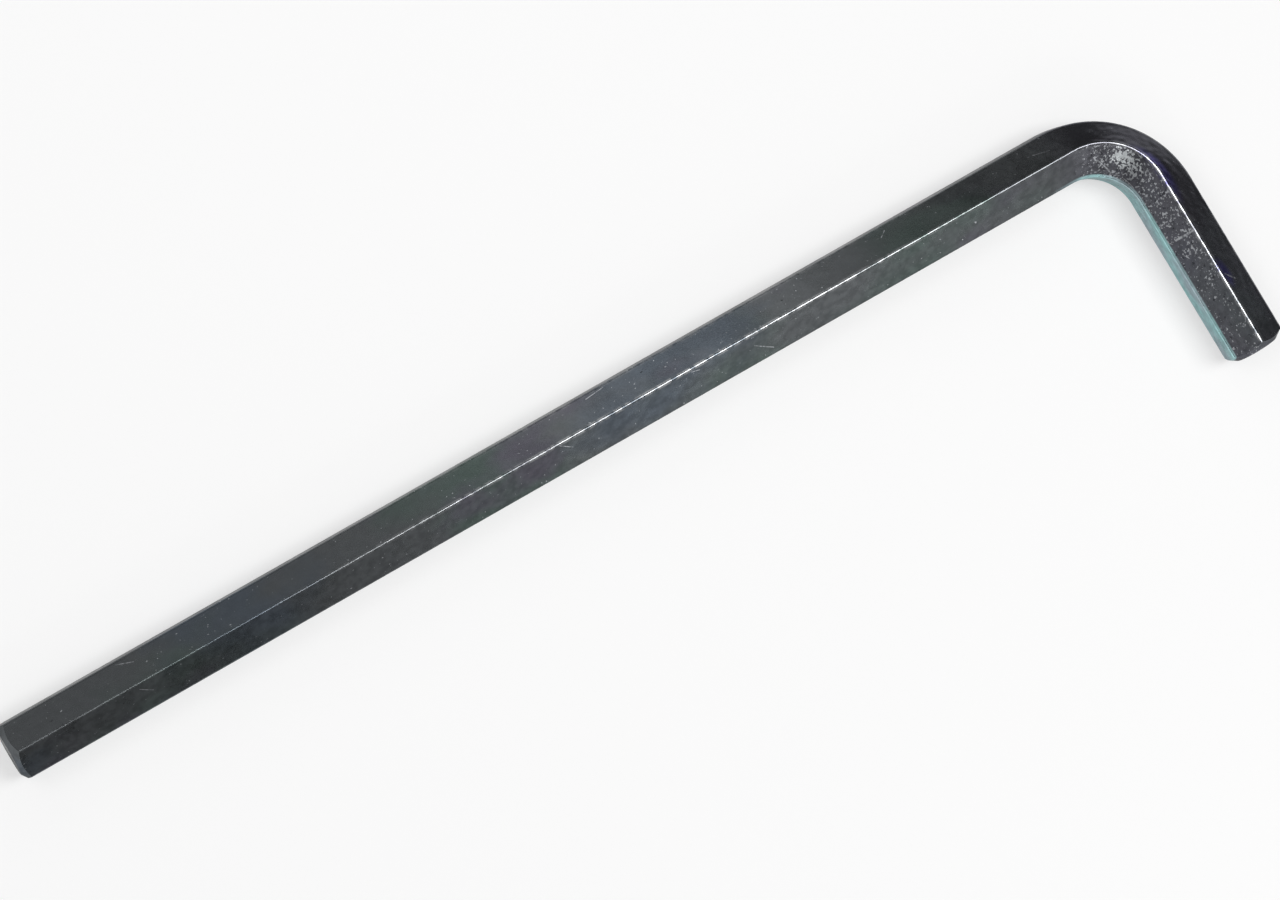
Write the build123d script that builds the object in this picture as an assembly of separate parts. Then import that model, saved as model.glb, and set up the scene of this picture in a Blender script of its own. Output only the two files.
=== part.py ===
from build123d import *
import math
import os

# Hex key: one length of hexagonal tool steel bar, bent once, with a coned tip at each
# end. It is a single piece. Sizes are in millimetres and degrees.
#
# The key is modelled as it lies on a bench. The bend is in the level XY plane, and the bar's section
# has one corner straight up and one straight down, so the flats face into and out of the bend and
# the key lies on its lowest corner line. The long arm runs along +X to the bend, and the short arm
# turns from there towards -Y. The origin is on the bench, under the middle of the key's box.

# ---- driving dimensions --------------------------------------------------------------------------
ACROSS_FLATS = 10.0          # the wrench size
CORNER_ROUND = 0.5           # radius along the bar's six long corners
LONG_ARM = 224.0             # long tip to the outer flat of the short arm
SHORT_ARM = 51.0             # short tip to the outer flat of the long arm
TURN = 87.5                  # the angle that the bar is bent through
OUTER_BEND_RADIUS = 20.0     # the two corner lines outside the bend, which cold bending flattens
MIDDLE_BEND_RADIUS = 11.5    # the top and bottom corner lines
INNER_BEND_RADIUS = 9.0      # the two corner lines inside the bend
TIP_FACE_RADIUS = 3.9        # the round flat that the cone leaves on a tip
TIP_CONE_ANGLE = 55.0        # from the bar's axis to the side of the cone
TIP_EDGE_ROUND = 0.2         # radius round the tip's flat

SAME_PLACE = 0.001           # points closer together than this count as one
CUT_MARGIN = 1.0             # how far the tips' cutting ring reaches past the corners

# ---- values that follow --------------------------------------------------------------------------
CORNERS = 6
HALF_FLATS = ACROSS_FLATS / 2
CORNER_DISTANCE = ACROSS_FLATS / math.sqrt(3)      # from the bar's axis to a sharp corner
HALF_TURN_TANGENT = math.tan(math.radians(TURN / 2))

LONG_WAY = Vector(1, 0, 0)                         # from the long tip to the bend
SHORT_WAY = LONG_WAY.rotate(Axis.Z, -TURN)         # from the bend to the short tip
SHORT_OUTWARD = SHORT_WAY.rotate(Axis.Z, 90)       # out of the bend, across the short arm

LONG_TIP = Vector(0, 0, 0)
BEND_CORNER = LONG_WAY * (LONG_ARM - HALF_FLATS)   # where the axes of the two arms cross
SHORT_TIP = BEND_CORNER + SHORT_WAY * (SHORT_ARM - HALF_FLATS)


def bend_radii():
    """The bend radius of each corner line, going round the section from the top to the outside."""
    half = [MIDDLE_BEND_RADIUS, OUTER_BEND_RADIUS, OUTER_BEND_RADIUS]
    return half + [MIDDLE_BEND_RADIUS, INNER_BEND_RADIUS, INNER_BEND_RADIUS]


def corner_line(number, bend_radius):
    """One sharp corner line of the bent bar, in its own level plane: straight, arc, straight."""
    angle = math.radians(number * 360 / CORNERS)
    outward = CORNER_DISTANCE * math.sin(angle)
    height = Vector(0, 0, CORNER_DISTANCE * math.cos(angle))
    start = LONG_TIP + Vector(0, outward, 0) + height
    crossing = BEND_CORNER + Vector(outward * HALF_TURN_TANGENT, outward, 0) + height
    end = SHORT_TIP + SHORT_OUTWARD * outward + height
    bend_start = crossing - LONG_WAY * (bend_radius * HALF_TURN_TANGENT)
    bend_end = crossing + SHORT_WAY * (bend_radius * HALF_TURN_TANGENT)
    return [
        Edge.make_line(start, bend_start),
        Edge.make_tangent_arc(bend_start, LONG_WAY, bend_end),
        Edge.make_line(bend_end, end),
    ]


def flat(*corners):
    """A flat face between corner points."""
    return Face(Wire.make_polygon(corners, close=True))


def sharp_bar(lines):
    """The bent hexagonal bar: flat faces along the arms, ruled ones from arc to arc in the bend."""
    faces = []
    for line, next_line in zip(lines, lines[1:] + lines[:1]):
        long_edge, arc, short_edge = line
        next_long_edge, next_arc, next_short_edge = next_line
        faces.append(flat(long_edge @ 0, long_edge @ 1, next_long_edge @ 1, next_long_edge @ 0))
        faces.append(Face.make_surface_from_curves(arc, next_arc))
        faces.append(flat(short_edge @ 0, short_edge @ 1, next_short_edge @ 1, next_short_edge @ 0))
    faces.append(flat(*[line[0] @ 0 for line in lines]))
    faces.append(flat(*[line[-1] @ 1 for line in lines]))
    return Solid(Shell(faces))


def same_place(edge, other):
    """True if two edges run along the same path."""
    return all((edge.position_at(t) - other.position_at(t)).length < SAME_PLACE for t in (0, 0.5, 1))


def rounded_bar():
    """The bent bar with its long corners rounded, as rolled bar has them."""
    lines = [corner_line(number, radius) for number, radius in enumerate(bend_radii())]
    bar = sharp_bar(lines)
    long_edges = []
    for line in lines:
        for wanted in line:
            backward = wanted.reversed()
            long_edges += [e for e in bar.edges() if same_place(e, wanted) or same_place(e, backward)]
    return bar.fillet(CORNER_ROUND, long_edges)


def tip_waste(tip, way_out):
    """What the cone takes off a tip: a ring of bar outside a cone that ends in a round flat."""
    reach = CORNER_DISTANCE + CUT_MARGIN
    depth = (reach - TIP_FACE_RADIUS) / math.tan(math.radians(TIP_CONE_ANGLE))
    place = Plane(origin=tip, z_dir=-way_out)
    upward = (Align.CENTER, Align.CENTER, Align.MIN)
    ring = Cylinder(reach, depth, align=upward) - Cone(TIP_FACE_RADIUS, reach, depth, align=upward)
    return place * ring


def tip_rim(bar, tip):
    """The round edge of the flat on a tip."""
    return [
        edge for edge in bar.edges()
        if edge.geom_type == GeomType.CIRCLE and (edge.arc_center - tip).length < SAME_PLACE
    ]


def hex_key():
    """The finished key, laid with its lowest corner line on the bench."""
    key = rounded_bar()
    key -= tip_waste(LONG_TIP, -LONG_WAY)
    key -= tip_waste(SHORT_TIP, SHORT_WAY)
    key = key.solid()
    key = key.fillet(TIP_EDGE_ROUND, tip_rim(key, LONG_TIP) + tip_rim(key, SHORT_TIP))
    box = key.bounding_box()
    return key.translate(-Vector(box.center().X, box.center().Y, box.min.Z))


os.makedirs("parts", exist_ok=True)
export_step(hex_key(), "parts/hex_key.step")
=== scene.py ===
import math

import bpy
import numpy as np
from mathutils import Matrix, Vector


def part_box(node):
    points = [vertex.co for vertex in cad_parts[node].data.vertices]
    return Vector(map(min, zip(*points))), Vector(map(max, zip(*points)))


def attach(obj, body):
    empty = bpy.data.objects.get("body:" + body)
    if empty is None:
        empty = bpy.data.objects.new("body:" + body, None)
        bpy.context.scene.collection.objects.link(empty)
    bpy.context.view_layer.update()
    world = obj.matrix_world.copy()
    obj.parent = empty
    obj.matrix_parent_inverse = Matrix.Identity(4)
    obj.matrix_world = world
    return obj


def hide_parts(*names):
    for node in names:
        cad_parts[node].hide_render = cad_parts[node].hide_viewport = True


# The hex key's looks: a finely meshed copy of the CAD bar with the small unevenness of a rolled
# and bent bar, its dark plated steel, a pale floor, soft lamps and a long-lens camera.
# Everything is in metres, in the CAD frame.

MM = 0.001

# ---- the bar's shape, as in the CAD source ---------------------------------------------------------
ACROSS_FLATS = 10.0 * MM
CORNER_ROUND = 0.5 * MM
LONG_ARM = 224.0 * MM
SHORT_ARM = 51.0 * MM
TURN = math.radians(87.5)
OUTER_BEND_RADIUS = 20.0 * MM
MIDDLE_BEND_RADIUS = 11.5 * MM
INNER_BEND_RADIUS = 9.0 * MM
TIP_FACE_RADIUS = 3.9 * MM
TIP_CONE_ANGLE = math.radians(55.0)
TIP_EDGE_ROUND = 0.2 * MM

# ---- how finely the bar is meshed ------------------------------------------------------------------
LONG_STEP = 0.55 * MM        # along the long arm
SHORT_STEP = 0.3 * MM        # along the short arm
BEND_STEPS = 84
FACE_POINTS = 19             # across a flat, between its rounded corners
ROUND_POINTS = 5             # round a corner
EDGE_LOOPS = np.array([0.04, 0.10, 0.22]) * MM   # close to a tip's rim, to hold its edge crisp
CONE_RINGS = (0.04, 0.12, 0.3, 0.5, 0.7, 0.88, 1.0)            # shares of the way down a tip's cone
TIP_EDGE_RINGS = np.array([0.67, 0.33, 0.0])                   # shares of the small edge's turn left
FLAT_RINGS = (0.97, 0.9, 0.78, 0.62, 0.45, 0.28, 0.12)         # shares of the tip's flat radius

# ---- unevenness of the surface ---------------------------------------------------------------------
RELIEF_SEED = 11
NOISE_WAVES = 48
WAVE_DEPTH = 0.010 * MM      # long soft waves, along the whole bar
WAVE_LENGTHS = (5 * MM, 14 * MM)
WAVE_SQUASH = (0.5, 1, 1)    # waves run twice as long along the bar
PEEL_DEPTH = 0.011 * MM      # orange peel, where the bar was bent
PEEL_LENGTHS = (0.9 * MM, 2.2 * MM)
PEEL_FROM = LONG_ARM - 34 * MM
PEEL_RISE = 12 * MM          # the length over which the peel comes in
PEEL_FADE = 30 * MM          # the length over which it fades to the short tip
PEEL_AT_TIP = 0.45
CORNER_NIBBLE = 0.014 * MM   # unevenness of the rounded corners
NIBBLE_LENGTHS = (0.7 * MM, 1.8 * MM)
DENT_COUNT = 70
DENT_DEPTH = 0.035 * MM
DENT_SIZES = (0.25, 0.6)     # mm
DENT_STRETCHES = (0.4, 1.0)
DEEPEST = 0.12 * MM
CORNER_WEAR_AND_HIGHLIGHT = (1.0, 0.30, 0.15, 0.80, 0.10, 0.06)   # from the top corner towards the outside and round; the top corner also carries a painted highlight along its ridge
WEAR_AND_HIGHLIGHT_REACH = 0.10 * MM       # how far wear and the painted highlight reach onto the flats

# on a tip, by ring from the rim: rings 0 to 6 lie on the cone, 7 to 9 on its edge, the rest on the flat
TIP_RING_MARKS = (0, 2, 5, 6, 8, 10)
TIP_ROUNDNESS = (1, 0.2, 0.2, 1, 1, 0)
# wear on a tip, with a painted highlight round its small edge
TIP_WEAR_AND_HIGHLIGHT = (0.1, 0, 0, 0.35, 0.35, 0)

# ---- camera ----------------------------------------------------------------------------------------
CAMERA_DISTANCE = 1.0
CAMERA_LENS = 165.9          # mm, on the standard 36 mm sensor
CAMERA_AIM = Vector((0.004813, 0.012475, 0.005696))
CAMERA_TILT = 0.0755         # radians from straight above, towards the outside of the bend
CAMERA_SWING = 0.170         # radians from straight above, towards the long tip
CAMERA_ROLL = 0.506          # radians, round the line of sight

# ---- values that follow ----------------------------------------------------------------------------
CORNERS = 6
CORNER_DISTANCE = ACROSS_FLATS / math.sqrt(3)      # from the bar's axis to a sharp corner
HALF_CORNER = math.radians(60)                     # half the angle inside a corner
HALF_CORNER_TURN = math.radians(30)                # half of what a rounded corner turns through
HALF_TURN_TANGENT = math.tan(TURN / 2)
LONG_WAY = np.array([1.0, 0.0, 0.0])
SHORT_WAY = np.array([math.cos(TURN), -math.sin(TURN), 0.0])
SHORT_OUTWARD = np.array([math.sin(TURN), math.cos(TURN), 0.0])
BEND_CORNER = LONG_WAY * (LONG_ARM - ACROSS_FLATS / 2)
SHORT_TIP = BEND_CORNER + SHORT_WAY * (SHORT_ARM - ACROSS_FLATS / 2)
UP = np.array([0.0, 0.0, 1.0])
OUTWARD = np.array([0.0, 1.0, 0.0])

# straight lengths of the arms, and places along the unbent bar, from the long tip
LONG_STRAIGHT = LONG_ARM - ACROSS_FLATS / 2 - MIDDLE_BEND_RADIUS * HALF_TURN_TANGENT
SHORT_STRAIGHT = SHORT_ARM - ACROSS_FLATS / 2 - MIDDLE_BEND_RADIUS * HALF_TURN_TANGENT
BEND_FROM = LONG_STRAIGHT
BEND_TO = BEND_FROM + MIDDLE_BEND_RADIUS * TURN
BAR_END = BEND_TO + SHORT_STRAIGHT


# ---- the section -----------------------------------------------------------------------------------
def sharp_section():
    """The six sharp corners, as how far outward and how far up, from straight up towards the outside."""
    angles = np.arange(CORNERS) * 2 * math.pi / CORNERS
    return np.stack([np.sin(angles), np.cos(angles)], axis=1) * CORNER_DISTANCE


def section_points():
    """Each point round the rounded hexagon, as shares of the six sharp corners, then how much it
    belongs to a rounded corner, and its share of wear and of painted highlight.

    Shares of the corners still hold in the bend, where each corner line has its own radius.
    Equal shares of both neighbouring corners move a point inward, and unequal ones sideways too.
    """
    centre_back = CORNER_ROUND / math.sin(HALF_CORNER)
    tangent = CORNER_ROUND / math.tan(HALF_CORNER) / CORNER_DISTANCE
    rows, roundness, wear_and_highlight = [], [], []
    for corner in range(CORNERS):
        before, after = (corner - 1) % CORNERS, (corner + 1) % CORNERS
        for turn in np.linspace(-HALF_CORNER_TURN, HALF_CORNER_TURN, ROUND_POINTS):
            inward = centre_back - CORNER_ROUND * math.cos(turn)
            sideways = CORNER_ROUND * math.sin(turn) / math.sqrt(3)
            row = np.zeros(CORNERS)
            row[after] = (inward + sideways) / CORNER_DISTANCE
            row[before] = (inward - sideways) / CORNER_DISTANCE
            row[corner] = 1 - row[after] - row[before]
            rows.append(row)
            roundness.append(1.0)
            wear_and_highlight.append(CORNER_WEAR_AND_HIGHLIGHT[corner])
        for share in np.linspace(tangent, 1 - tangent, FACE_POINTS + 2)[1:-1]:
            row = np.zeros(CORNERS)
            row[corner] = 1 - share
            row[after] = share
            rows.append(row)
            from_round = (min(share, 1 - share) - tangent) * CORNER_DISTANCE
            nearest = corner if share < 0.5 else after
            roundness.append(math.exp(-from_round / WEAR_AND_HIGHLIGHT_REACH))
            wear_and_highlight.append(roundness[-1] * CORNER_WEAR_AND_HIGHLIGHT[nearest])
    return np.array(rows), np.array(roundness), np.array(wear_and_highlight)


# ---- the bar as rings of points --------------------------------------------------------------------
def arm_shares(length, step):
    """Shares of an arm from its tip's rim to the bend, close together at the rim."""
    even = np.linspace(0, 1, round(length / step) + 1)
    return np.concatenate([[0.0], EDGE_LOOPS / length, even[1:]])


def side_rings(weights):
    """Rings from the long tip's rim to the short tip's, and how far along the bar each one lies."""
    sharp = sharp_section()
    outward, height = sharp[:, 0], sharp[:, 1]
    radii = np.array([
        MIDDLE_BEND_RADIUS, OUTER_BEND_RADIUS, OUTER_BEND_RADIUS,
        MIDDLE_BEND_RADIUS, INNER_BEND_RADIUS, INNER_BEND_RADIUS,
    ])
    tangent = radii * HALF_TURN_TANGENT
    crossing = BEND_CORNER + np.stack([outward * HALF_TURN_TANGENT, outward, height], axis=1)
    bend_start = crossing - np.outer(tangent, LONG_WAY)
    bend_end = crossing + np.outer(tangent, SHORT_WAY)
    centres = bend_start - np.outer(radii, OUTWARD)
    long_corners = np.outer(outward, OUTWARD) + np.outer(height, UP)
    short_corners = SHORT_TIP + np.outer(outward, SHORT_OUTWARD) + np.outer(height, UP)

    # a point of the rim lies back from the tip by what the cone takes off there
    reach = np.linalg.norm(weights @ sharp, axis=1)
    rim_back = (reach - TIP_FACE_RADIUS) / math.tan(TIP_CONE_ANGLE)
    long_rim = weights @ long_corners + np.outer(rim_back, LONG_WAY)
    short_rim = weights @ short_corners - np.outer(rim_back, SHORT_WAY)

    rings, along = [], []
    for share in arm_shares(LONG_STRAIGHT, LONG_STEP):
        rings.append(long_rim * (1 - share) + weights @ bend_start * share)
        along.append(share * LONG_STRAIGHT)
    for part in np.arange(1, BEND_STEPS) / BEND_STEPS:
        way = LONG_WAY * math.sin(TURN * part) + OUTWARD * math.cos(TURN * part)
        rings.append(weights @ (centres + np.outer(radii, way)))
        along.append(BEND_FROM + (BEND_TO - BEND_FROM) * part)
    for share in arm_shares(SHORT_STRAIGHT, SHORT_STEP)[::-1]:
        rings.append(short_rim * (1 - share) + weights @ bend_end * share)
        along.append(BEND_TO + (1 - share) * SHORT_STRAIGHT)
    return np.array(rings), np.array(along)


def tip_rings(rim, tip, way_out):
    """Rings from a tip's rim down its cone, round its small edge and in towards its middle."""
    sideways = rim - tip - np.outer((rim - tip) @ way_out, way_out)
    rim_radius = np.linalg.norm(sideways, axis=1, keepdims=True)
    unit = sideways / rim_radius
    edge_turn = math.pi / 2 - TIP_CONE_ANGLE
    edge_tangent = TIP_EDGE_ROUND * math.tan(edge_turn / 2)
    cone_end = TIP_FACE_RADIUS + edge_tangent * math.sin(TIP_CONE_ANGLE)
    flat_radius = TIP_FACE_RADIUS - edge_tangent
    rings = []
    for share in CONE_RINGS:
        radius = rim_radius * (1 - share) + cone_end * share
        back = (radius - TIP_FACE_RADIUS) / math.tan(TIP_CONE_ANGLE)
        rings.append(tip + unit * radius - back * way_out)
    for left in TIP_EDGE_RINGS * edge_turn:
        radius = flat_radius + TIP_EDGE_ROUND * math.sin(left)
        back = TIP_EDGE_ROUND * (1 - math.cos(left))
        rings.append(tip + unit * radius - back * way_out)
    for share in FLAT_RINGS:
        rings.append(tip + unit * flat_radius * share)
    return np.array(rings)


def unbent(rings, tip, outward, along):
    """Where points near a tip lie in the bar before it was bent: along it, outward and up."""
    from_tip = rings - tip
    return np.stack([np.full(rings.shape[:2], along), from_tip @ outward, from_tip @ UP], axis=2)


def bar_rings():
    """All the rings from the long tip's middle to the short tip's, with their points' unbent places,
    how much each point belongs to a rounded edge, and its share of wear and of painted highlight.
    """
    weights, roundness, wear_and_highlight = section_points()
    side, along = side_rings(weights)
    section = weights @ sharp_section()
    origin = np.zeros(3)
    long_tip = tip_rings(side[0], origin, -LONG_WAY)[::-1]
    short_tip = tip_rings(side[-1], SHORT_TIP, SHORT_WAY)
    side_unbent = np.empty(side.shape)
    side_unbent[:, :, 0] = along[:, None]
    side_unbent[:, :, 1:] = section[None]
    places = np.concatenate([long_tip, side, short_tip])
    straight = np.concatenate([
        unbent(long_tip, origin, OUTWARD, 0.0),
        side_unbent,
        unbent(short_tip, SHORT_TIP, SHORT_OUTWARD, BAR_END),
    ])
    tip_steps = np.arange(len(short_tip))
    tip_roundness = np.interp(tip_steps, TIP_RING_MARKS, TIP_ROUNDNESS)
    # wear and a painted highlight round the tip's small edge
    tip_wear_and_highlight = np.interp(tip_steps, TIP_RING_MARKS, TIP_WEAR_AND_HIGHLIGHT)
    return (
        places,
        straight,
        rings_of_shares(roundness, tip_roundness, len(side)),
        rings_of_shares(wear_and_highlight, tip_wear_and_highlight, len(side)),
    )


def rings_of_shares(round_the_side, down_a_tip, side_count):
    """A value for each point of all the rings, from its course round the side and down a tip."""
    ring_size = len(round_the_side)
    tip = np.tile(down_a_tip[:, None], (1, ring_size))
    return np.concatenate([tip[::-1], np.tile(round_the_side, (side_count, 1)), tip])


# ---- unevenness ------------------------------------------------------------------------------------
def soft_noise(places, shortest, longest, rng):
    """Smooth noise of about unit height, with waves between two lengths."""
    total = np.zeros(len(places))
    for _ in range(NOISE_WAVES):
        way = rng.normal(size=3)
        way /= np.linalg.norm(way)
        length = math.exp(rng.uniform(math.log(shortest), math.log(longest)))
        total += np.cos(places @ way * (2 * math.pi / length) + rng.uniform(0, 2 * math.pi))
    return total / math.sqrt(NOISE_WAVES / 2)


def below_surface(noise):
    """Noise moved so that it nearly always sinks the surface, by about one and a half on average."""
    return 1.5 + 0.75 * noise


def bent_share(along):
    """How much the bending marked each place: none on most of the long arm, most in the bend."""
    rise = np.clip((along - PEEL_FROM) / PEEL_RISE, 0, 1)
    fade = np.clip((BAR_END - along) / PEEL_FADE, 0, 1)
    return rise * (PEEL_AT_TIP + (1 - PEEL_AT_TIP) * fade)


def relief(straight, roundness):
    """How far each point sinks into the bar: waves, orange peel, nibbled corners and small dents."""
    rng = np.random.default_rng(RELIEF_SEED)
    bent = bent_share(straight[:, 0])
    flat = 1 - roundness
    waves = soft_noise(straight * WAVE_SQUASH, *WAVE_LENGTHS, rng)
    peel = soft_noise(straight, *PEEL_LENGTHS, rng)
    nibble = soft_noise(straight, *NIBBLE_LENGTHS, rng)
    sink = flat * WAVE_DEPTH * below_surface(waves)
    sink += flat * bent * PEEL_DEPTH * below_surface(peel)
    sink += roundness * CORNER_NIBBLE * np.clip(0.15 + 0.5 * nibble, 0, 1) ** 2
    for _ in range(DENT_COUNT):
        centre = straight[rng.integers(len(straight))]
        size = rng.uniform(*DENT_SIZES) * MM
        stretch = np.array([rng.uniform(*DENT_STRETCHES), 1, 1])
        away = np.sum(((straight - centre) * stretch) ** 2, axis=1) / size ** 2
        sink += flat * DENT_DEPTH * rng.uniform(0.3, 1) * np.exp(-away)
    return np.clip(sink, 0, DEEPEST)


# ---- mesh ------------------------------------------------------------------------------------------
def bar_faces(ring_count, ring_size):
    """Quads between neighbouring rings, and a fan of triangles at each end's middle point."""
    first = np.arange(ring_size)
    after = (first + 1) % ring_size
    faces = []
    for ring in range(ring_count - 1):
        low, high = ring * ring_size, (ring + 1) * ring_size
        faces += np.stack([low + first, high + first, high + after, low + after], axis=1).tolist()
    start_middle, end_middle = ring_count * ring_size, ring_count * ring_size + 1
    last = (ring_count - 1) * ring_size
    faces += [[start_middle, int(a), int(b)] for a, b in zip(first, after)]
    faces += [[end_middle, int(last + b), int(last + a)] for a, b in zip(first, after)]
    return faces


def put_attribute(mesh, name, kind, values):
    """Stores one value for each point of the mesh, for the material to read."""
    field = "vector" if kind == "FLOAT_VECTOR" else "value"
    mesh.attributes.new(name, kind, "POINT").data.foreach_set(field, np.ravel(values).astype(np.float32))


def make_bar():
    """The bar as one closed mesh, placed in the CAD node's box, with its unevenness sunk in."""
    rings, straight, roundness, wear_and_highlight = bar_rings()
    ring_count, ring_size = rings.shape[:2]
    points = np.concatenate([rings.reshape(-1, 3), [rings[0].mean(axis=0), rings[-1].mean(axis=0)]])
    straight = np.concatenate([straight.reshape(-1, 3), [[0, 0, 0], [BAR_END, 0, 0]]])
    roundness, wear_and_highlight = (np.append(values.ravel(), [0, 0]) for values in (roundness, wear_and_highlight))
    low, high = (np.array(corner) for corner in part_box("hex_key"))
    points += (low + high) / 2 - (points.min(axis=0) + points.max(axis=0)) / 2

    mesh = bpy.data.meshes.new("hex_key_bar")
    mesh.from_pydata(points.tolist(), [], bar_faces(ring_count, ring_size))
    mesh.update()
    normals = np.empty(len(points) * 3, dtype=np.float32)
    mesh.vertex_normals.foreach_get("vector", normals)
    sunk = points - normals.reshape(-1, 3) * relief(straight, roundness)[:, None]
    mesh.vertices.foreach_set("co", np.ravel(sunk).astype(np.float32))
    put_attribute(mesh, "unbent", "FLOAT_VECTOR", straight)
    put_attribute(mesh, "wear_and_highlight", "FLOAT", wear_and_highlight)
    mesh.polygons.foreach_set("use_smooth", np.ones(len(mesh.polygons), dtype=bool))
    mesh.update()
    bar = bpy.data.objects.new("hex_key_bar", mesh)
    bpy.context.scene.collection.objects.link(bar)
    return bar


# ---- material --------------------------------------------------------------------------------------
class Tree:
    """Short ways to add nodes to a material or world."""

    def __init__(self, owner):
        owner.use_nodes = True
        self.nodes = owner.node_tree.nodes
        self.links = owner.node_tree.links
        self.nodes.clear()

    def feed(self, socket, value):
        """Links a node's output to a socket, or sets a plain value on it."""
        if isinstance(value, bpy.types.NodeSocket):
            self.links.new(value, socket)
        else:
            socket.default_value = value

    def add(self, kind, inputs=(), **settings):
        """A new node with its settings made and its inputs fed."""
        node = self.nodes.new(kind)
        for name, value in settings.items():
            setattr(node, name, value)
        for name, value in dict(inputs).items():
            self.feed(node.inputs[name], value)
        return node

    def math(self, operation, *values, clamp=False):
        """The result of one operation, clamped to between none and one if asked."""
        node = self.add("ShaderNodeMath", operation=operation, use_clamp=clamp)
        for socket, value in zip(node.inputs, values):
            self.feed(socket, value)
        return node.outputs[0]

    def fit(self, value, low, high, start=0.0, end=1.0):
        """The value's way from low to high, as a smooth step from start to end."""
        node = self.add("ShaderNodeMapRange", interpolation_type="SMOOTHSTEP")
        for socket, given in zip(node.inputs, (value, low, high, start, end)):
            self.feed(socket, given)
        return node.outputs[0]

    def attribute(self, name):
        return self.add("ShaderNodeAttribute", attribute_name=name).outputs

    def noise(self, place, scale, detail=2.0, stretch=(1, 1, 1), shift=(0, 0, 0)):
        """Noise whose waves are about 1/scale metres long, shorter where stretch is over 1."""
        moved = self.add("ShaderNodeMapping", {"Vector": place, "Scale": stretch, "Location": shift})
        node = self.add("ShaderNodeTexNoise", {"Vector": moved.outputs[0], "Scale": scale, "Detail": detail})
        return node.outputs["Fac"]

    def near(self, place, centre, reach):
        """One at a centre, falling to none at each axis's reach from it."""
        away = self.add("ShaderNodeVectorMath", {0: place, 1: centre}, operation="SUBTRACT")
        stretch = tuple(1 / length for length in reach)
        shares = self.add("ShaderNodeVectorMath", {0: away.outputs[0], 1: stretch}, operation="MULTIPLY")
        distance = self.add("ShaderNodeVectorMath", {0: shares.outputs[0]}, operation="LENGTH")
        return self.fit(distance.outputs["Value"], 1.0, 0.2)

    def stroke(self, place, start, end, width):
        """One along a straight stroke between two places, falling to none at its width."""
        way = Vector(end) - Vector(start)
        from_start = self.add("ShaderNodeVectorMath", {0: place, 1: start}, operation="SUBTRACT").outputs[0]
        reached = self.add("ShaderNodeVectorMath", {0: from_start, 1: way / way.length_squared},
                           operation="DOT_PRODUCT").outputs["Value"]
        reached = self.math("MINIMUM", self.math("MAXIMUM", reached, 0.0), 1.0)
        step = self.add("ShaderNodeVectorMath", {0: way, "Scale": reached}, operation="SCALE").outputs[0]
        away = self.add("ShaderNodeVectorMath", {0: from_start, 1: step}, operation="SUBTRACT").outputs[0]
        distance = self.add("ShaderNodeVectorMath", {0: away}, operation="LENGTH").outputs["Value"]
        return self.fit(distance, width, width * 0.3)

    def blend(self, amount, first, second):
        """A colour between two. A Mix node keeps its colour sockets at these numbers."""
        node = self.add("ShaderNodeMix", data_type="RGBA")
        for socket, value in ((0, amount), (6, first), (7, second)):
            self.feed(node.inputs[socket], value)
        return node.outputs[2]


PLATED = (0.118, 0.126, 0.132, 1)
GREEN_TINGE = (0.104, 0.136, 0.126, 1)
BLUE_TINGE = (0.106, 0.124, 0.146, 1)
VIOLET_TINGE = (0.121, 0.117, 0.142, 1)
# painted reflection: pale teal and grey that stand in for a pale surface mirrored in the side inside the
# bend
PAINTED_TEAL_REFLECTION = (0.40, 0.66, 0.67, 1)
PAINTED_GREY_REFLECTION = (0.43, 0.52, 0.57, 1)
# bright corner wear, which on the top corner also stands for a painted highlight along the ridge
WORN_AND_HIGHLIT = (0.38, 0.39, 0.40, 1)
# light specks: painted glints in the bend, and the colour of the light scratches
SCRATCH_AND_GLINT_COLOUR = (0.55, 0.57, 0.60, 1)
# the painted hot spot in the bend
PAINTED_HOT_SPOT_COLOUR = (0.90, 0.95, 0.97, 1)
PIT = (0.035, 0.036, 0.042, 1)
STAIN = (0.095, 0.085, 0.260, 1)
GRAZING_SHADE = (0.45, 0.45, 0.45, 1)   # the tint of the metal's reflection at grazing angles

# each tinge: its colour, its waves per metre, its noise's shift, and the noise levels it comes in between
TINGES = (
    (GREEN_TINGE, 45, 4.2, 0.46, 0.66),
    (BLUE_TINGE, 60, 3, 0.50, 0.68),
    (VIOLET_TINGE, 75, 7, 0.54, 0.72),
)
TINGE_STRETCH = (0.6, 1, 1)

# where the painted pale teal reflection on the side inside the bend, and the half inside the bend, begin and
# are whole, as distances outward
PAINTED_REFLECTION_FROM, PAINTED_REFLECTION_TO = -4.45 * MM, -4.72 * MM
INNER_FROM, INNER_TO = 0.3 * MM, -0.5 * MM

VIOLET_PAST_BEND = 0.6       # how violet the plating is past the bend
SQUEEZED_AT_TIP = 0.62       # against one in the bend
SQUEEZED_OUTSIDE = 0.15      # against one on the flats inside the bend
MOTTLE = 0.15                # how far mottling lightens and darkens the half inside the bend
MOTTLE_OUTSIDE = 0.3         # its share on the other half

# waves per metre of the finer noises
GREY_SCALE = 110
MOTTLE_SCALE = 950
CLUSTER_SCALE = 380
FLECK_SCALE = 2700
GLINT_SCALE = 1500
PIT_SCALE = 1500
WEAR_AND_HIGHLIGHT_SCALE = 750
BROKEN_SCALE = 1800
PATCH_SCALE = 130
GRAIN_SCALE = 3800
LINE_SCALE = 900
PEEL_SCALE = 1500

# stains, and the painted hot spot in the bend: the middle as (along, outward), then the reach along, outward
# and up, in mm
STAINS = (
    ((225, 0.6), (8, 1.6, 3)),
    ((246, 0.8), (4, 1.4, 3)),
)
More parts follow.
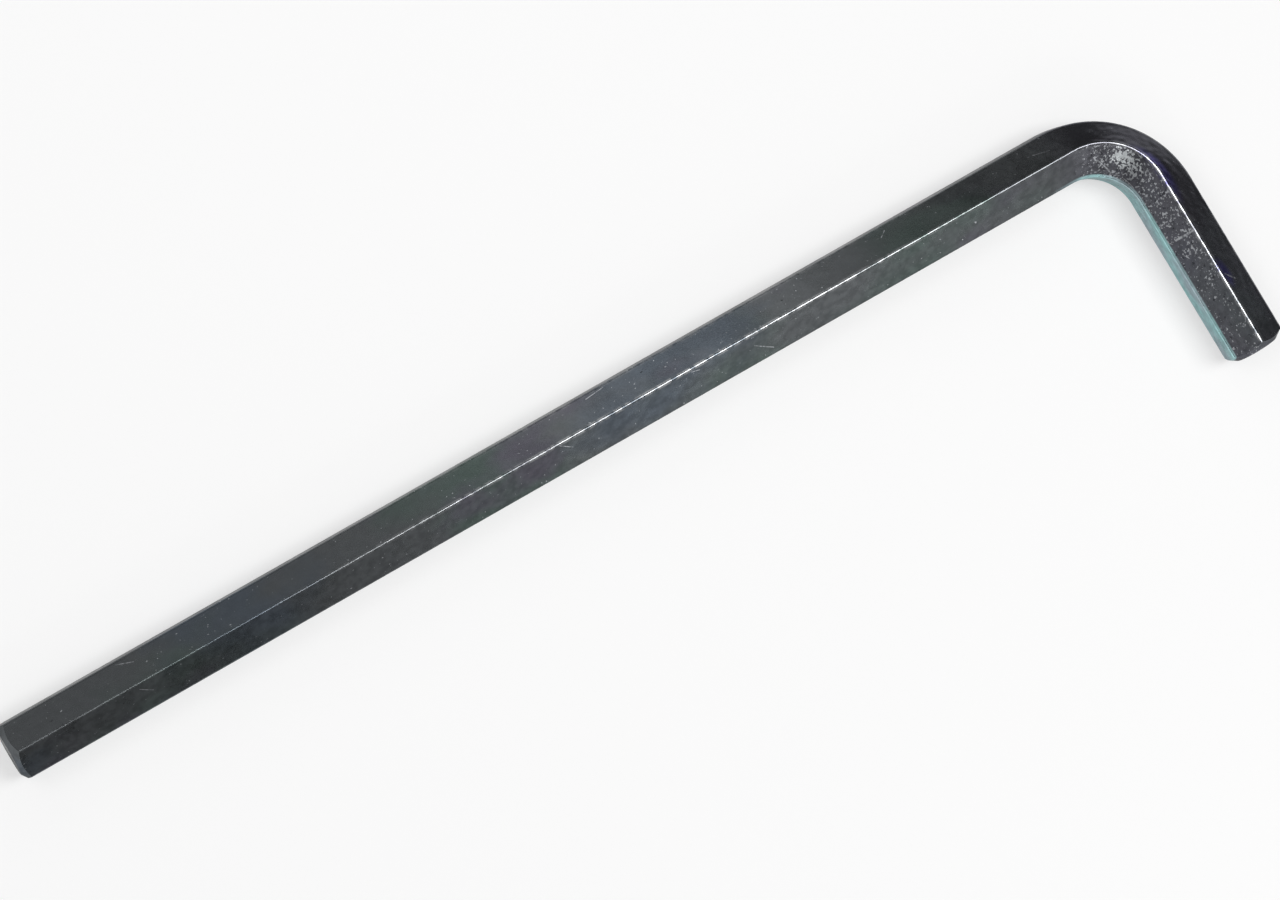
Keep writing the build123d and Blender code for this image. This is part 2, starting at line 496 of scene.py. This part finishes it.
# the painted hot spot: a bright patch in the bend where a glint falls
PAINTED_HOT_SPOT = ((218.5, -1.8), (5.5, 2.2, 4))
STAIN_STRENGTH = 0.8
FLECK_STRENGTH = 0.85
PIT_STRENGTH = 0.7

# large scratches: the start and the end as (along, outward), and the width, in mm
LARGE_SCRATCHES = (
    ((236.9, -0.3), (235.8, -3.2), 0.28),
    ((246.4, 0.7), (247.6, 2.0), 0.24),
    ((213.0, -2.6), (216.5, -4.2), 0.16),
)
SCRATCH_SEED = 5
SCRATCH_COUNT = 9
SCRATCH_PLACES = (10 * MM, 250 * MM)
SCRATCH_LENGTHS = (1.0 * MM, 4.0 * MM)
SCRATCH_SPREAD = 4.4 * MM    # the furthest outward that a small scratch starts
SCRATCH_LIMIT = 4.5 * MM     # the furthest outward that it ends
SCRATCH_SLOPE = 0.6
SCRATCH_WIDTH = 0.09 * MM
SCRATCH_STRENGTH = 0.85

# corner wear and the painted highlight along the top corner grow from the long tip, fade before the bend and
# are whole past it
WEAR_AND_HIGHLIGHT_GROWS = (40 * MM, 125 * MM)
WEAR_AND_HIGHLIGHT_FADES = (150 * MM, 200 * MM)
WEAR_AND_HIGHLIGHT_BEFORE_BEND = 0.12

BUMP_DEPTH = 0.012 * MM
BUMP_STRENGTH = 0.8


def on_upper_flats(along, outward):
    """A place on the two upper flats of the unbent bar."""
    height = (ACROSS_FLATS / 2 - abs(outward) / 2) / math.cos(math.radians(30))
    return Vector((along, outward, height))


class Marks:
    """The place on the unbent bar, for the material, how strongly the bending marked it, and where the pale
    teal reflection is painted.
    """

    def __init__(self, tree):
        self.place = tree.attribute("unbent")["Vector"]
        axes = tree.add("ShaderNodeSeparateXYZ", {"Vector": self.place}).outputs
        self.along, outward = axes[0], axes[1]
        self.past_bend = tree.fit(self.along, BEND_FROM - 6 * MM, BEND_FROM + 5 * MM)
        # the side inside the bend, from the bend on, gets a painted pale teal reflection
        inner_side = tree.fit(outward, PAINTED_REFLECTION_FROM, PAINTED_REFLECTION_TO)
        self.pale = tree.math("MULTIPLY", inner_side, self.past_bend)
        self.inner_half = tree.fit(outward, INNER_FROM, INNER_TO)
        self.squeezed = self.find_squeezed(tree)

    def find_squeezed(self, tree):
        """How much a place was squeezed: most on the flats inside the bend, none on the side with the
        painted reflection.
        """
        squeezed = tree.fit(self.along, BEND_FROM - 3 * MM, BEND_FROM + 6 * MM)
        towards_tip = tree.fit(self.along, BEND_TO, BAR_END - 5 * MM, 1.0, SQUEEZED_AT_TIP)
        squeezed = tree.math("MULTIPLY", squeezed, towards_tip)
        across = tree.fit(self.inner_half, 0, 1, SQUEEZED_OUTSIDE, 1.0)
        squeezed = tree.math("MULTIPLY", squeezed, across)
        return tree.math("MULTIPLY", squeezed, tree.math("SUBTRACT", 1.0, self.pale))

    def spot(self, tree, middle, reach):
        """A soft round spot on the upper flats, from its middle and reach in mm."""
        along, outward = middle
        centre = on_upper_flats(along * MM, outward * MM)
        return tree.near(self.place, centre, tuple(length * MM for length in reach))


def plating(tree, marks):
    """The plating's colour: slow soft tinges, a painted pale teal reflection on the side inside the bend,
    and fine mottling.
    """
    colour = PLATED
    for tinge, scale, shift, low, high in TINGES:
        patches = tree.noise(marks.place, scale, 3, TINGE_STRETCH, (shift, 0, 0))
        colour = tree.blend(tree.fit(patches, low, high), colour, tinge)
    violet = tree.math("MULTIPLY", marks.past_bend, VIOLET_PAST_BEND)
    colour = tree.blend(violet, colour, VIOLET_TINGE)

    greyer = tree.fit(tree.noise(marks.place, GREY_SCALE, 3, (0.7, 1, 1), (9, 0, 0)), 0.42, 0.66)
    # painted reflection: pale teal mottled with grey on the side inside the bend
    colour = tree.blend(marks.pale, colour, tree.blend(greyer, PAINTED_TEAL_REFLECTION, PAINTED_GREY_REFLECTION))

    mottle = tree.noise(marks.place, MOTTLE_SCALE, 5, (0.7, 1, 1), (2, 0, 0))
    mottle = tree.fit(mottle, 0.30, 0.70, -MOTTLE, MOTTLE)
    mottle = tree.math("MULTIPLY", mottle, tree.fit(marks.inner_half, 0, 1, MOTTLE_OUTSIDE, 1.0))
    level = tree.math("ADD", mottle, 1.0)
    return tree.add("ShaderNodeHueSaturation", {"Value": level, "Color": colour}).outputs["Color"]


def stained(tree, marks, colour):
    """The colour with violet-blue stains beside the top corner, past the bend."""
    first, second = (marks.spot(tree, middle, reach) for middle, reach in STAINS)
    stain = tree.math("MAXIMUM", first, second)
    return tree.blend(tree.math("MULTIPLY", stain, STAIN_STRENGTH), colour, STAIN)


def painted_glints_and_hot_spot(tree, marks, colour):
    """The colour with painted glints as light specks, closest together inside the bend and brightest on a
    painted hot spot there.
    """
    # painted hot spot: a bright patch in the bend, with the painted glints closest together round it
    hot_spot = marks.spot(tree, *PAINTED_HOT_SPOT)
    fleck_from = tree.fit(marks.squeezed, 0.0, 1.0, 0.715, 0.590)
    fleck_from = tree.math("SUBTRACT", fleck_from, tree.math("MULTIPLY", hot_spot, 0.12))
    clusters = tree.noise(marks.place, CLUSTER_SCALE, 2, (1, 1, 1), (13, 0, 0))
    clusters = tree.fit(clusters, 0.35, 0.65, 0.035, -0.035)
    fleck_from = tree.math("ADD", fleck_from, clusters)
    fleck_to = tree.math("ADD", fleck_from, 0.05)
    # light specks painted in place of glints off the bend's rough surface
    glint_flecks = tree.fit(tree.noise(marks.place, FLECK_SCALE, 2.5, (0.8, 1, 1)), fleck_from, fleck_to)
    glint_from = tree.math("ADD", fleck_from, 0.055)
    glint_to = tree.math("ADD", fleck_from, 0.085)
    glints = tree.noise(marks.place, GLINT_SCALE, 2, (0.9, 1, 1), (17, 0, 0))
    glints = tree.fit(glints, glint_from, glint_to)
    glint_flecks = tree.math("MULTIPLY", tree.math("MAXIMUM", glint_flecks, glints), FLECK_STRENGTH)
    return tree.blend(glint_flecks, colour, tree.blend(hot_spot, SCRATCH_AND_GLINT_COLOUR, PAINTED_HOT_SPOT_COLOUR))


def pit_share(tree, marks):
    """One in the small dark pits, which are larger and closer together where the bar was squeezed."""
    pit_to = tree.fit(marks.squeezed, 0.0, 1.0, 0.27, 0.39)
    pit_from = tree.math("SUBTRACT", pit_to, 0.05)
    noise = tree.noise(marks.place, PIT_SCALE, 3, (0.8, 1, 1), (11, 0, 0))
    return tree.math("SUBTRACT", 1.0, tree.fit(noise, pit_from, pit_to))


def wear_and_painted_highlight(tree, marks, colour):
    """The colour with bright corner wear and a painted highlight along the top corner, uneven, and less at
    the long tip and before the bend.
    """
    wear_and_highlight_along = tree.fit(marks.along, *WEAR_AND_HIGHLIGHT_GROWS)
    before_bend = tree.fit(marks.along, *WEAR_AND_HIGHLIGHT_FADES, 1.0, WEAR_AND_HIGHLIGHT_BEFORE_BEND)
    from_bend = tree.fit(marks.along, BEND_FROM + 4 * MM, BEND_FROM + 12 * MM)
    wear_and_highlight_along = tree.math("MULTIPLY", wear_and_highlight_along, tree.math("MAXIMUM", before_bend, from_bend))
    # bright wear on the corners, with a painted highlight along the top corner's ridge
    wear_and_highlight_share = tree.math("MULTIPLY", tree.attribute("wear_and_highlight")["Fac"], wear_and_highlight_along)
    uneven = tree.noise(marks.place, WEAR_AND_HIGHLIGHT_SCALE, 4, (1, 1, 1), (5, 0, 0))
    uneven = tree.fit(uneven, 0.38, 0.60, 0.05, 1.0)
    return tree.blend(tree.math("MULTIPLY", wear_and_highlight_share, uneven, clamp=True), colour, WORN_AND_HIGHLIT)


def scratch_strokes():
    """Where the scratches run: three large ones from the bend on, and scattered small ones."""
    strokes = []
    for start, end, width in LARGE_SCRATCHES:
        start, end = (on_upper_flats(along * MM, outward * MM) for along, outward in (start, end))
        strokes.append((start, end, width * MM))
    rng = np.random.default_rng(SCRATCH_SEED)
    for _ in range(SCRATCH_COUNT):
        along, outward = rng.uniform(*SCRATCH_PLACES), rng.uniform(-SCRATCH_SPREAD, SCRATCH_SPREAD)
        length, slope = rng.uniform(*SCRATCH_LENGTHS), rng.uniform(-SCRATCH_SLOPE, SCRATCH_SLOPE)
        end = float(np.clip(outward + slope * length, -SCRATCH_LIMIT, SCRATCH_LIMIT))
        if outward * end < 0:
            end = outward
        strokes.append((on_upper_flats(along, outward), on_upper_flats(along + length, end), SCRATCH_WIDTH))
    return strokes


def scratched(tree, marks, colour):
    """The colour with fine light scratches, broken along their length."""
    total = 0.0
    for start, end, width in scratch_strokes():
        total = tree.math("MAXIMUM", total, tree.stroke(marks.place, start, end, width))
    broken = tree.fit(tree.noise(marks.place, BROKEN_SCALE, 2), 0.35, 0.60, 0.25, 1.0)
    shown = tree.math("MULTIPLY", tree.math("MULTIPLY", total, broken), SCRATCH_STRENGTH)
    return tree.blend(shown, colour, SCRATCH_AND_GLINT_COLOUR)


def gloss(tree, marks, grain, pits):
    """The roughness: soft patches and fine grain, a little smoother outside and rougher in the pits."""
    patches = tree.fit(tree.noise(marks.place, PATCH_SCALE, 4), 0.3, 0.7, 0.26, 0.36)
    roughness = tree.math("ADD", patches, tree.fit(grain, 0.3, 0.7, -0.03, 0.03))
    roughness = tree.math("ADD", roughness, tree.fit(marks.inner_half, 0, 1, -0.06, 0.0))
    return tree.math("ADD", roughness, tree.math("MULTIPLY", pits, 0.18))


def fine_bump(tree, marks, grain, pits):
    """Fine bump: rolling lines along the bar, peel where it was squeezed, grain and sunken pits."""
    lines = tree.noise(marks.place, LINE_SCALE, 3, (0.03, 1, 1))
    peel = tree.noise(marks.place, PEEL_SCALE, 2)
    peel = tree.math("MULTIPLY", peel, tree.fit(marks.squeezed, 0, 1, 0.25, 2.2))
    height = tree.math("ADD", tree.math("MULTIPLY", lines, 0.3), peel)
    height = tree.math("ADD", height, tree.math("MULTIPLY", grain, 0.2))
    height = tree.math("SUBTRACT", height, tree.math("MULTIPLY", pits, 0.5))
    settings = {"Height": height, "Strength": BUMP_STRENGTH, "Distance": BUMP_DEPTH}
    return tree.add("ShaderNodeBump", settings).outputs[0]


def steel():
    """Dark plated steel, with its tinges, marks of bending, corner wear and scratches, and painted light: a
    pale teal reflection inside the bend, glints and a hot spot in the bend, and a highlight along the top
    corner.
    """
    material = bpy.data.materials.new("dark_plated_steel")
    tree = Tree(material)
    marks = Marks(tree)
    pits = pit_share(tree, marks)
    grain = tree.noise(marks.place, GRAIN_SCALE, 2)
    colour = plating(tree, marks)
    colour = stained(tree, marks, colour)
    colour = painted_glints_and_hot_spot(tree, marks, colour)
    colour = tree.blend(tree.math("MULTIPLY", pits, PIT_STRENGTH), colour, PIT)
    colour = wear_and_painted_highlight(tree, marks, colour)
    colour = scratched(tree, marks, colour)
    shader = tree.add("ShaderNodeBsdfPrincipled", {
        "Base Color": colour,
        "Metallic": 1.0,
        "Roughness": gloss(tree, marks, grain, pits),
        "Specular Tint": GRAZING_SHADE,
        "Normal": fine_bump(tree, marks, grain, pits),
    })
    output = tree.add("ShaderNodeOutputMaterial")
    tree.feed(output.inputs["Surface"], shader.outputs[0])
    return material


# ---- surroundings ----------------------------------------------------------------------------------
FLOOR_SIZE = 8.0
FLOOR_SHADE = (0.95, 0.95, 0.95, 1)
FLOOR_LIFT = 0.55            # how much of what the camera sees of the floor is plain white
FLOOR_DROP = 0.02 * MM       # how far the floor lies below the bar, so that they never cross


def make_floor():
    """A wide pale floor just under the bar, which keeps a soft shadow."""
    mesh = bpy.data.meshes.new("floor")
    half = FLOOR_SIZE / 2
    corners = [(-half, -half, 0), (half, -half, 0), (half, half, 0), (-half, half, 0)]
    mesh.from_pydata(corners, [], [(0, 1, 2, 3)])
    floor = bpy.data.objects.new("floor", mesh)
    floor.location.z = -FLOOR_DROP
    bpy.context.scene.collection.objects.link(floor)
    material = bpy.data.materials.new("pale_floor")
    tree = Tree(material)
    path = tree.add("ShaderNodeLightPath").outputs
    seen = tree.math("MAXIMUM", path["Is Camera Ray"], path["Is Glossy Ray"])
    seen = tree.math("MAXIMUM", seen, path["Is Transmission Ray"])
    matt = tree.add("ShaderNodeBsdfDiffuse", {"Color": FLOOR_SHADE})
    white = tree.add("ShaderNodeEmission", {"Strength": 1.0})
    both = tree.add("ShaderNodeMixShader")
    tree.feed(both.inputs[0], tree.math("MULTIPLY", seen, FLOOR_LIFT))
    tree.feed(both.inputs[1], matt.outputs[0])
    tree.feed(both.inputs[2], white.outputs[0])
    output = tree.add("ShaderNodeOutputMaterial")
    tree.feed(output.inputs["Surface"], both.outputs[0])
    mesh.materials.append(material)


def make_world():
    """A dim grey sky, brighter overhead, with a pale backdrop low round the horizon."""
    world = bpy.data.worlds.new("studio")
    bpy.context.scene.world = world
    tree = Tree(world)
    way = tree.add("ShaderNodeTexCoord").outputs["Generated"]
    axes = tree.add("ShaderNodeSeparateXYZ", {"Vector": way}).outputs
    height = axes[2]
    sky = tree.fit(height, 0.45, 1.0, 0.11, 0.34)
    backdrop = tree.fit(height, 0.16, 0.08, 0.0, 0.70)
    level = tree.math("ADD", sky, backdrop)
    background = tree.add("ShaderNodeBackground", {"Color": (1, 1, 1, 1), "Strength": level})
    output = tree.add("ShaderNodeOutputWorld")
    tree.feed(output.inputs["Surface"], background.outputs[0])


def make_lamp(name, place, aim, size, radiance):
    """A soft box at a place, facing a point, whose face is as bright as radiance says."""
    lamp = bpy.data.lights.new(name, "AREA")
    lamp.shape = "RECTANGLE"
    lamp.size, lamp.size_y = size
    # an area lamp of power P and area A has a face of radiance P / (pi A)
    lamp.energy = radiance * math.pi * size[0] * size[1]
    holder = bpy.data.objects.new(name, lamp)
    holder.location = place
    holder.rotation_euler = (Vector(aim) - Vector(place)).to_track_quat("-Z", "Y").to_euler()
    bpy.context.scene.collection.objects.link(holder)


def make_lamps():
    """The lamps, each with its place, its aim, its width and height, and its radiance.

    The overhead box and the fill, behind it at the left, light the floor and the top corner. Low cards
    behind and before the long arm light its upper and lower flats, and one at the left lights the flat
    inside the short arm. The small bend_glint lamp makes a hot spot in the bend.
    """
    make_lamp("overhead", (0.37, -0.08, 1.0), (0.0, 0.02, 0.005), (0.36, 0.60), 9.4)
    make_lamp("fill", (-0.45, 0.45, 1.1), (0.0, 0.0, 0.005), (0.50, 0.50), 3.2)
    make_lamp("back_wide", (-0.065, 0.300, 0.200), (-0.065, 0.02, 0.005), (0.36, 0.14), 0.36)
    make_lamp("back_middle", (0.080, 0.301, 0.200), (0.080, 0.02, 0.005), (0.10, 0.14), 0.66)
    make_lamp("front_wide", (0.112, -0.290, 0.155), (0.112, 0.02, 0.005), (0.256, 0.14), 0.40)
    make_lamp("front_right", (0.115, -0.291, 0.155), (0.115, 0.02, 0.005), (0.17, 0.14), 0.58)
    make_lamp("bend_glint", (-0.31, -0.87, 0.71), (0.102, 0.014, 0.01), (0.14, 0.14), 6.5)
    make_lamp("left_side", (-0.25, -0.05, 0.33), (0.105, 0.0, 0.005), (0.25, 0.25), 0.42)


def make_camera():
    """The camera: over its aim, then rolled, tilted and swung about it."""
    camera = bpy.data.cameras.new("camera")
    camera.lens = CAMERA_LENS
    camera.clip_start = 0.01
    holder = bpy.data.objects.new("camera", camera)
    holder.matrix_world = (
        Matrix.Translation(CAMERA_AIM)
        @ Matrix.Rotation(-CAMERA_SWING, 4, "Y")
        @ Matrix.Rotation(-CAMERA_TILT, 4, "X")
        @ Matrix.Rotation(-CAMERA_ROLL, 4, "Z")
        @ Matrix.Translation((0, 0, CAMERA_DISTANCE))
    )
    bpy.context.scene.collection.objects.link(holder)
    bpy.context.scene.camera = holder


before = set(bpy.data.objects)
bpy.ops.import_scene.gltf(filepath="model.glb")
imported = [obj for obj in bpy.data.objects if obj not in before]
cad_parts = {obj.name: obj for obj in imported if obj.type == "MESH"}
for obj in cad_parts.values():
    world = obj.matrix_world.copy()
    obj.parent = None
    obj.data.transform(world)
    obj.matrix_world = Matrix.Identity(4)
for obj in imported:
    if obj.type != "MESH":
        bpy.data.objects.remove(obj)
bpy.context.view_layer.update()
bpy.context.scene.view_settings.view_transform = "Standard"
make_camera()
make_world()
make_lamps()
make_floor()

bar = make_bar()
bar.data.materials.append(steel())
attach(bar, "root")
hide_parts("hex_key")
